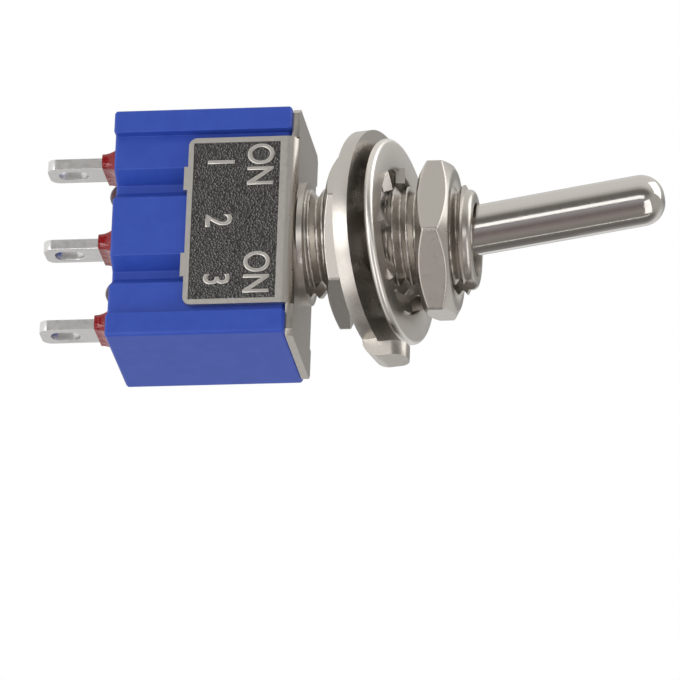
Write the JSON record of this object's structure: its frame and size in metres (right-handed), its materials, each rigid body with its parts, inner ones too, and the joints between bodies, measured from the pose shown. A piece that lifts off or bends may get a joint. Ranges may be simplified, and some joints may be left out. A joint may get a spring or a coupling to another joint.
{
  "type": "toggle switch",
  "caption": "Miniature on-on toggle switch: bat lever in a threaded bushing with nuts and washers, folded metal frame over a moulded case, sealed solder terminals.",
  "frame": {"origin": "centre of the mounting plate's outer face, on the bushing's axis", "axes": "+Z along the bushing towards the lever; X is the direction of the throw and of the terminal row, with +X on the side of the keyway, the tongue and terminal 3; +Y points away from the lettered tab"},
  "size_m": [0.0135, 0.0118, 0.0334],
  "materials": {
    "blue_moulding": "soft satin phenolic moulding",
    "nickel_plated_steel": "satin nickel plating on steel",
    "nickel_plated_brass": "satin nickel plating on brass",
    "bright_nickel": "polished bright nickel on brass",
    "white_acetal": "smooth acetal",
    "spring_steel": "bright wire",
    "silvered_bronze": "silver plating on bronze",
    "silver_contact": "bare silver alloy",
    "silvered_brass": "dull silver plating on brass",
    "red_epoxy": "glossy cast epoxy"
  },
  "bodies": {
    "body": {"case": "blue_moulding", "frame": "nickel_plated_steel", "bushing": "nickel_plated_brass", "terminal_1": "silvered_brass", "terminal_2": "silvered_brass", "terminal_3": "silvered_brass", "seal_1": "red_epoxy", "seal_2": "red_epoxy", "seal_3": "red_epoxy", "seal_drop_1": "red_epoxy", "seal_drop_2": "red_epoxy", "fixed_contact_1": "silver_contact", "fixed_contact_3": "silver_contact"},
    "lever": {"lever": "bright_nickel", "plunger_spring": "spring_steel"},
    "plunger": {"plunger": "white_acetal"},
    "rocker": {"rocker": "silvered_bronze", "moving_contact_1": "silver_contact", "moving_contact_3": "silver_contact"},
    "locating_washer": {"locating_washer": "nickel_plated_steel"},
    "back_nut": {"back_nut": "nickel_plated_brass"},
    "lock_washer": {"lock_washer": "nickel_plated_steel"},
    "front_nut": {"front_nut": "nickel_plated_brass"}
  },
  "joints": [
    {"name": "lever_throw", "type": "hinge", "parent": "body", "child": "lever", "pos_m": [0, 0, 0.006], "axis": [0, 1, 0], "range_deg": [0, 19]},
    {"name": "rocker_tilt", "type": "hinge", "parent": "body", "child": "rocker", "pos_m": [0, 0, -0.00623], "axis": [0, 1, 0], "range_deg": [-12.2, 0]},
    {"name": "plunger_push", "type": "slide", "parent": "lever", "child": "plunger", "axis": [-0.165, 0, 0.9863], "range_m": [0, 0.0003], "stiffness_N_per_m": 400, "springref_m": -0.002, "deforming": ["plunger_spring"]},
    {"name": "back_washer_slide", "type": "slide", "parent": "body", "child": "locating_washer", "axis": [0, 0, 1], "range_m": [-0.0012, 0]},
    {"name": "back_nut_turn", "type": "hinge", "parent": "locating_washer", "child": "back_nut", "pos_m": [0, 0, 0.00206], "axis": [0, 0, 1], "range_deg": [-577, 0]},
    {"name": "lock_washer_slide", "type": "slide", "parent": "body", "child": "lock_washer", "axis": [0, 0, 1], "range_m": [-0.00008, 0.00225]},
    {"name": "front_nut_turn", "type": "hinge", "parent": "lock_washer", "child": "front_nut", "pos_m": [0, 0, 0.0073], "axis": [0, 0, 1], "range_deg": [-39, 1080]}
  ],
  "couplings": [
    {"joint": "rocker_tilt", "follows": "lever_throw", "ratio": -0.64211},
    {"joint": "back_nut_turn", "follows": "back_washer_slide", "rad_per_m": 8377.6},
    {"joint": "front_nut_turn", "follows": "lock_washer_slide", "rad_per_m": 8377.6}
  ]
}
